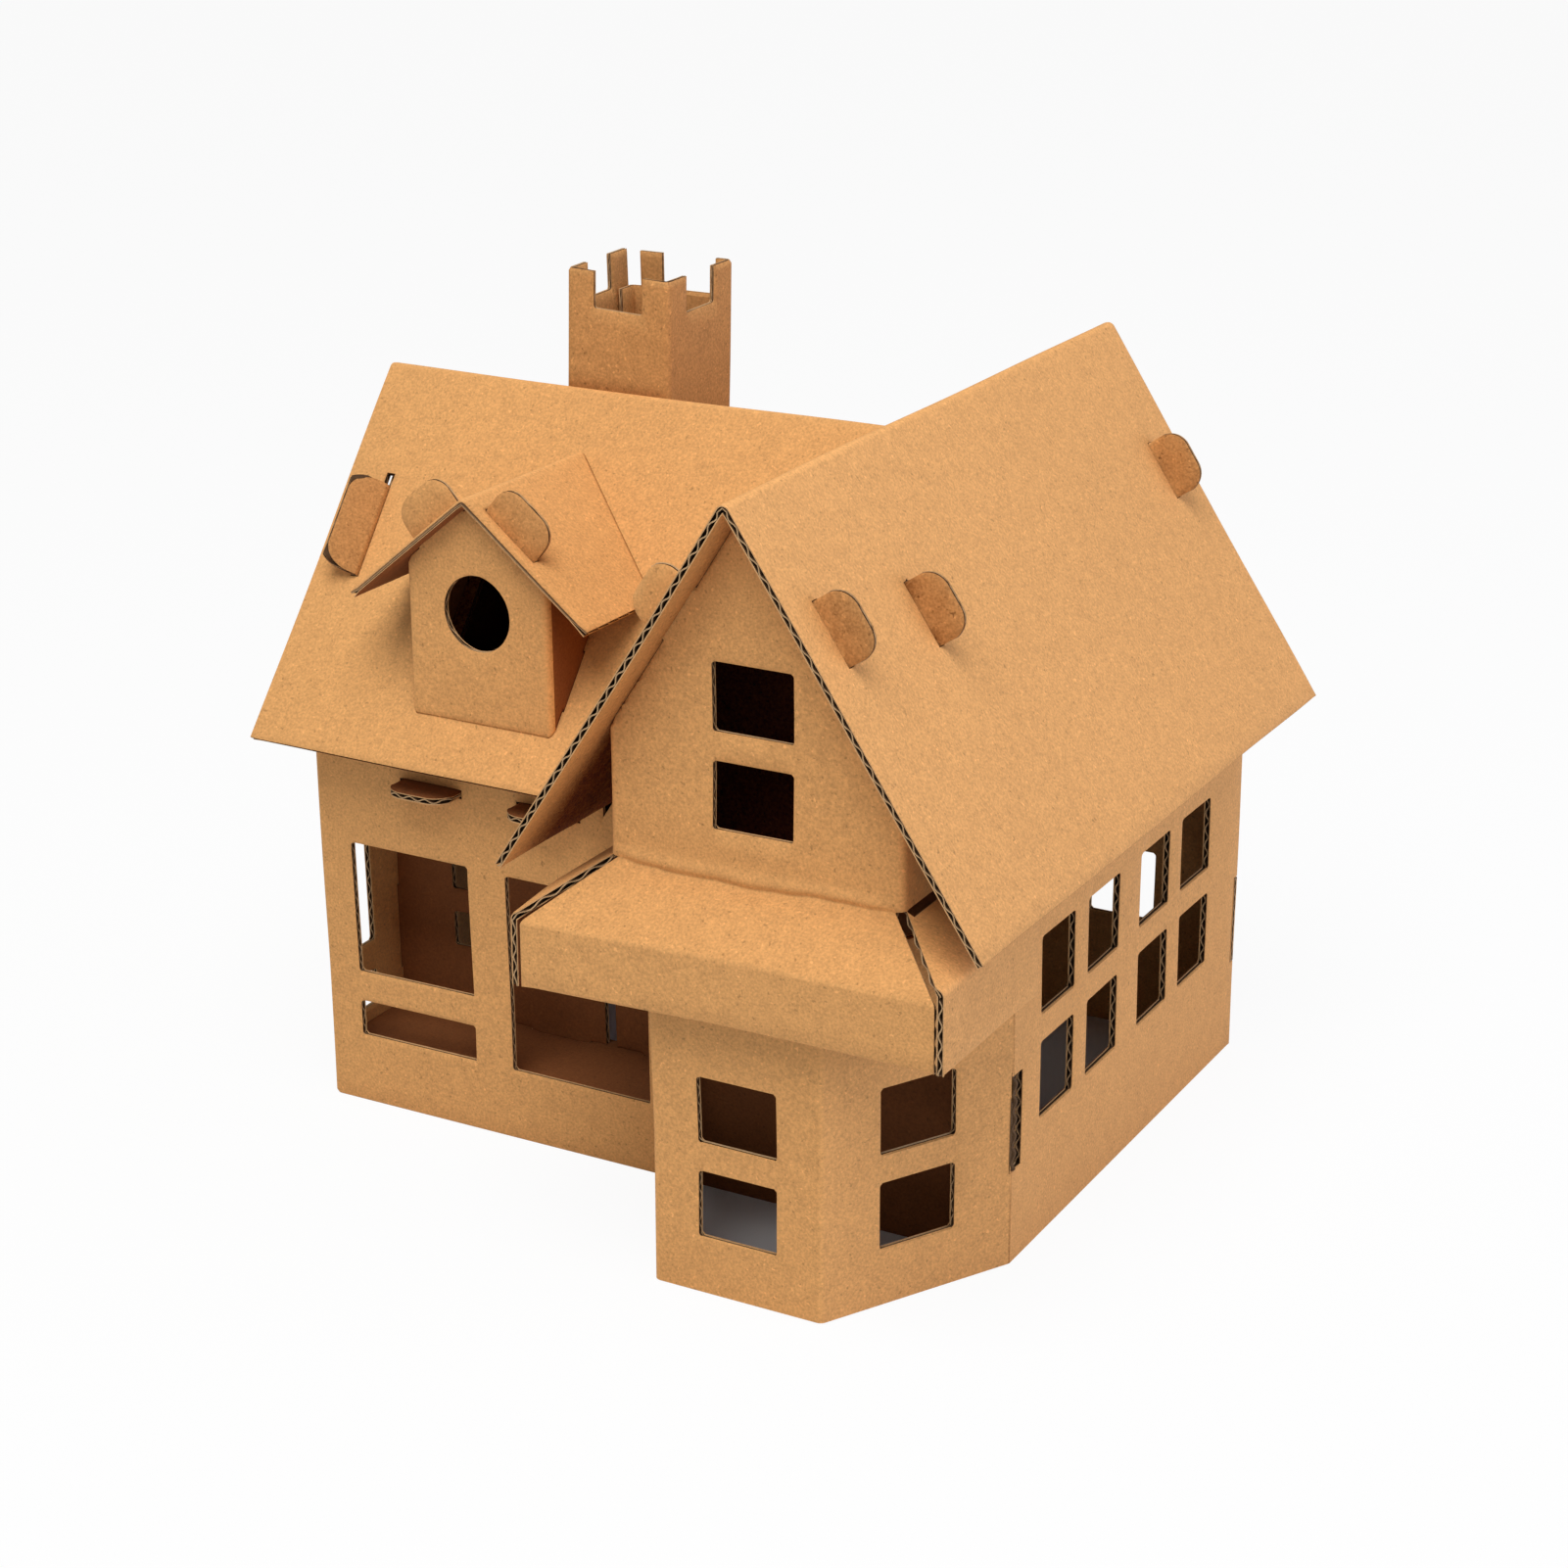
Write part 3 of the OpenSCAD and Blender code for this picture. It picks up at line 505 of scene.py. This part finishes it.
# Bay and right side wall: one sheet folded three times round the bay, standing in front of the front wall.
# Kraft board with die-cut panes. Its last fold has a slot that takes the front wall's end tab.
slot_fold = Vector((144.96, -74.86, 0)) * mm
slot_score_w = 6 * mm
pane_crush_w = 0.4 * mm


def by_slot_fold(point):
    return (point.xy - slot_fold.xy).length < slot_score_w


corrugated("bay_and_side_wall", darkened=by_slot_fold, trim=pane_crush_w)


# Rear wall: one sheet folded twice, closing the main house and the wing behind.
# Kraft board with a four-pane window. The tabs of its gable stand in the rear slots of the wing roof.
def outer_liner(point, side):
    return outer_side


corrugated("rear_wall", shows=outer_liner, toned=darker_tab, squashed=on_tab)

# Attic floor: a flat sheet laid over the porch and the main room.
# Kraft board, its flutes running front to back. D-shaped tabs hold it in slots of the front and rear walls.
# Both its liners are the darker one, as painted shade.
corrugated("attic_floor", run=along_x, indoors=True)

# Porch wall and porch deck: the recessed inner wall with its two panes and slit, and the folded floor.
# Kraft board, wedged between the gable wall and the wing behind the front openings.
# Both their liners are the darker one, as painted shade.
corrugated("porch_wall", indoors=True)
corrugated("porch_deck", run=along_y, indoors=True)

# Front gable and canopy: one sheet, the gable folded back at its sides and the hipped canopy folded out.
# Kraft board, creased by hand, so the folds are soft and a little uneven. Tabs hold it in the wing roof.
crease = Vector((73.46, -129.86, 152)) * mm
crease_half = 56.5 * mm
crease_spread, crease_ends = 4.5 * mm, 6
sag_depth, sag_span = 1.4 * mm, 1.56
wander_depth, wander_size = 0.9 * mm, 11 * mm
bulge_depth, bulge_rise, bulge_spread = 1.5 * mm, 2.6 * mm, 1.6 * mm
droop_depth, droop_span = 2.2 * mm, 1.4
flap_reach = 24.3 * mm
crease_rows = [(145.3 + 0.9 * i) * mm for i in range(17)]
crease_columns = [(16.9 + 3 * i) * mm for i in range(38)]


def pressed(point):
    """The crease under the gable sags and wanders, and the gable bulges over it.

    The left end of the canopy's flap droops.
    """
    along = (point.x - crease.x) / crease_half
    gap = point - crease
    near = math.exp(-(gap.y ** 2 + gap.z ** 2) / (2 * crease_spread ** 2))
    near *= share((1 - abs(along)) * crease_ends)
    sag = sag_depth * math.sin(math.pi * min(1.0, (along + 1) / sag_span))
    wander = wander_depth * noise.noise(Vector((point.x / wander_size, 0.3, 0.7)))
    bulge = bulge_depth * math.exp(-((gap.z - bulge_rise) ** 2) / (2 * bulge_spread ** 2)) * near
    droop = droop_depth * share(-along / droop_span) * share(-gap.y / flap_reach)
    return point + Vector((0, -bulge, (wander - sag) * near - droop))


def gable_side(point, side):
    return outer_side if on_tab(point) else side


corrugated(
    "front_gable_canopy", shaped=pressed, shows=gable_side, toned=darker_tab, squashed=on_tab,
    close=[(upright, crease_rows), (along_x, crease_columns)],
)

# Wing roof and main roof: two large sheets folded at their ridges and hung on the tabs of the gables.
# Kraft board with level flutes, whose open ends show along the rakes. The main roof is cut to the wing.
wing_front, wing_back = (corner[1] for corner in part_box("wing_roof"))
main_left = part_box("main_roof")[0][0]
dormer_low, dormer_high = (Vector(corner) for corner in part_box("dormer_body"))
rake_w, rake_fade = 6 * mm, 20 * mm


def painted_shade_within(depth):
    """Painted shade: the underside darkens from its open rake inwards."""
    return deep_painted_shade * share((depth - rake_w) / rake_fade)


def under_wing(point, side, rim):
    return painted_shade_within(min(point.y - wing_front, wing_back - point.y)) if side == inner_side else None


def under_main(point, side, rim):
    """Both sides are painted dark inside the dormer, as shade where the round window looks in."""
    in_dormer = dormer_low.x + board_t < point.x < dormer_high.x - board_t
    if in_dormer and dormer_low.y + bend_step < point.y < dormer_high.y - bend_step:
        return deep_painted_shade
    return painted_shade_within(point.x - main_left) if side == inner_side else None


corrugated("wing_roof", core_on=inner_side, shows=outer_liner, toned=under_wing)
corrugated("main_roof", core_on=inner_side, shows=outer_liner, toned=under_main)

# Dormer: a face with a round window and two folded sides, under its own small folded roof.
# Kraft board. The roof's flutes run down its slope, so its front edge shows only two liner lines.
dormer_ridge = Vector((-70.04, 0, 255.5)) * mm
dormer_fall = math.tan(math.radians(39))
dormer_face_y = dormer_low.y + 1.3 * board_t
dormer_slot_depth = 3.6 * mm
# Painted shadow: a dark line where the dormer's cut edges meet the main roof.
contact_shadow_w = 6 * mm
contact_shadow_tone = -1.4
left_tab_tone, right_tab_tone = 0.25 * tab_tone, 0.7 * tab_tone


def on_dormer_tab(point, root=tab_root):
    roof_z = dormer_ridge.z - abs(point.x - dormer_ridge.x) * dormer_fall
    return point.y < dormer_face_y and point.z + root > roof_z


def dormer_side(point, side):
    """The two sides, deep under the eaves, show the darker liner as painted shade. The tabs show the outer
    one all round.
    """
    if point.y > dormer_face_y:
        return inner_side
    return outer_side if on_dormer_tab(point) else side


def dormer_tone(point, side, rim):
    """The cut edges that sit on the main roof get a painted contact shadow, and the two tabs are toned
    darker.
    """
    if rim and point.z < main_roof_z(point) + contact_shadow_w:
        return contact_shadow_tone
    painted_mark = left_tab_tone if point.x < dormer_ridge.x else right_tab_tone
    return painted_mark if on_dormer_tab(point, dormer_slot_depth) else None


def dormer_roof_tone(point, side, rim):
    return dormer_tone(point, side, rim) if rim else None


corrugated("dormer_body", core_on=inner_side, shows=dormer_side, toned=dormer_tone, squashed=on_dormer_tab)
corrugated("dormer_roof", run=along_y, core_on=inner_side, toned=dormer_roof_tone)

# Chimney: four walls folded into a tube and closed by a glued flap, notched at the top.
# Kraft board. It stands across the main roof, cut to its slope.
chimney_low, chimney_high = (Vector(corner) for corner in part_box("chimney"))
chimney_size = chimney_high - chimney_low
chimney_foot = (chimney_low + chimney_high) / 2
chimney_foot.z = 262 * mm
chimney_lean = Matrix.Rotation(math.radians(2.2), 3, "Y")
corner_skew = 10 * mm
chimney_tone = -0.36


def leaning(point):
    """The tube leans to the right, and its glued rear corner stands ever more forward higher up."""
    roof_z = main_ridge.z - (point.y - main_ridge.y) * main_fall
    rise = share((point.z - roof_z) / (chimney_high.z - roof_z))
    skew = (chimney_high.x - point.x) / chimney_size.x * (point.y - chimney_low.y) / chimney_size.y * rise
    return chimney_foot + chimney_lean @ (point - Vector((0, corner_skew * skew, 0)) - chimney_foot)


corrugated(
    "chimney", core_on=inner_side, shaped=leaning, shows=outer_liner,
    toned=lambda point, side, rim: chimney_tone, squashed=lambda point: True,
)

# Floor: a plain pale sheet under the house. It shows as white and keeps a trace of the house's shadow.
# Inside the walls it is only lit through the windows, so that part is plain matt and falls dark.
pale_white, full_white = (0.85, 0.85, 0.85, 1), (1, 1, 1, 1)
floor_half = 6.0
floor_glow, indoors_glow = 0.93, 0.0
indoors_z = 0.2 * mm
indoors_plan = [
    (-148.5, -73.4), (2.8, -73.4), (41.3, -142.4), (105.7, -142.4), (143.5, -74.4),
    (143.5, 132.6), (3.5, 132.6), (3.5, 98.6), (-148.5, 98.6),
]


def seen_directly(tree):
    """1 where the camera looks, also by way of a mirror or glass, and 0 for light that bounces."""
    ray = tree.nodes.new("ShaderNodeLightPath")
    seen = Tone(tree, ray.outputs["Is Camera Ray"])
    for other in ("Is Glossy Ray", "Is Transmission Ray"):
        seen = seen.maths("MAXIMUM", seen, Tone(tree, ray.outputs[other]))
    return seen


def studio_sheet(name, bm, glow):
    """A stage piece of matt white, which looks at least as bright as glow to the camera."""
    mesh = bpy.data.meshes.new(name)
    bm.to_mesh(mesh)
    bm.free()
    stage = bpy.data.objects.new(name, mesh)
    bpy.context.scene.collection.objects.link(stage)
    finish = bpy.data.materials.new(name)
    finish.use_nodes = True
    tree = finish.node_tree
    tree.nodes.remove(tree.nodes["Principled BSDF"])
    ground = Tone(tree)
    matt = ground.node("ShaderNodeBsdfDiffuse", {}, {"Color": pale_white})
    white = ground.node("ShaderNodeEmission", {}, {"Color": full_white})
    mixed = ground.node("ShaderNodeMixShader", {}, {0: seen_directly(tree) * glow, 1: matt, 2: white})
    tree.links.new(mixed.socket, tree.nodes["Material Output"].inputs["Surface"])
    mesh.materials.append(finish)


bm = bmesh.new()
bmesh.ops.create_grid(bm, x_segments=2, y_segments=2, size=floor_half)
studio_sheet("studio_floor", bm, floor_glow)

bm = bmesh.new()
bm.faces.new([bm.verts.new((x * mm, y * mm, indoors_z)) for x, y in indoors_plan])
studio_sheet("studio_floor_indoors", bm, indoors_glow)

# Light: a dim white studio all round, a large soft lamp above the front, and a weak cool one low on the
# right, as a solved fit to the photograph's tones gave them.
fill = 0.30
lamp_width, lamp_reach = 1.2, 1.65
lamp_aim = Vector((0, 0, 0.15))
world = bpy.data.worlds.new("studio_white")
bpy.context.scene.world = world
world.use_nodes = True
sky_tree = world.node_tree
strength = seen_directly(sky_tree) * (1.0 - fill) + fill
sky_tree.links.new(strength.socket, sky_tree.nodes["Background"].inputs["Strength"])
sky_tree.nodes["Background"].inputs["Color"].default_value = full_white


def outwards(turn, lift):
    """The direction away from the house, turned from the front towards the right and lifted, in degrees."""
    turn, lift = math.radians(turn), math.radians(lift)
    return Vector((math.sin(turn) * math.cos(lift), -math.cos(turn) * math.cos(lift), math.sin(lift)))


def studio_lamp(name, side, energy, colour):
    """A round soft lamp on one side of the house, aimed at its middle."""
    lamp = bpy.data.lights.new(name, "AREA")
    lamp.shape = "DISK"
    lamp.size = lamp_width
    lamp.energy = energy
    lamp.color = colour
    holder = bpy.data.objects.new(name, lamp)
    aim = side.to_track_quat("Z", "Y").to_matrix().to_4x4()
    holder.matrix_world = Matrix.Translation(side * lamp_reach + lamp_aim) @ aim
    holder.visible_camera = False
    bpy.context.scene.collection.objects.link(holder)


studio_lamp("studio_soft_lamp", outwards(15, 64), energy=22.7, colour=(1, 1, 1))
studio_lamp("studio_side_lamp", outwards(108, 13), energy=7.2, colour=(0.97, 1.02, 1.3))

# Camera: the photograph's angle, from the front right and a little above, with a long lens.
camera_place = Vector((576.4, -1009.0, 567.9)) * mm
back = outwards(29.171, 20.576)
roll = math.radians(-0.428)
right = (-back).cross(upright).normalized()
up = right.cross(-back)
right, up = right * math.cos(roll) + up * math.sin(roll), up * math.cos(roll) - right * math.sin(roll)
camera_data = bpy.data.cameras.new("photo_camera")
camera_data.lens = 75.06
camera_data.sensor_width = 36.0
camera_data.sensor_fit = "HORIZONTAL"
camera_data.clip_start = 0.05
camera = bpy.data.objects.new("photo_camera", camera_data)
turned = Matrix((right, up, back)).transposed().to_4x4()
camera.matrix_world = Matrix.Translation(camera_place) @ turned
bpy.context.scene.collection.objects.link(camera)
bpy.context.scene.camera = camera
bpy.context.scene.view_settings.view_transform = "Standard"
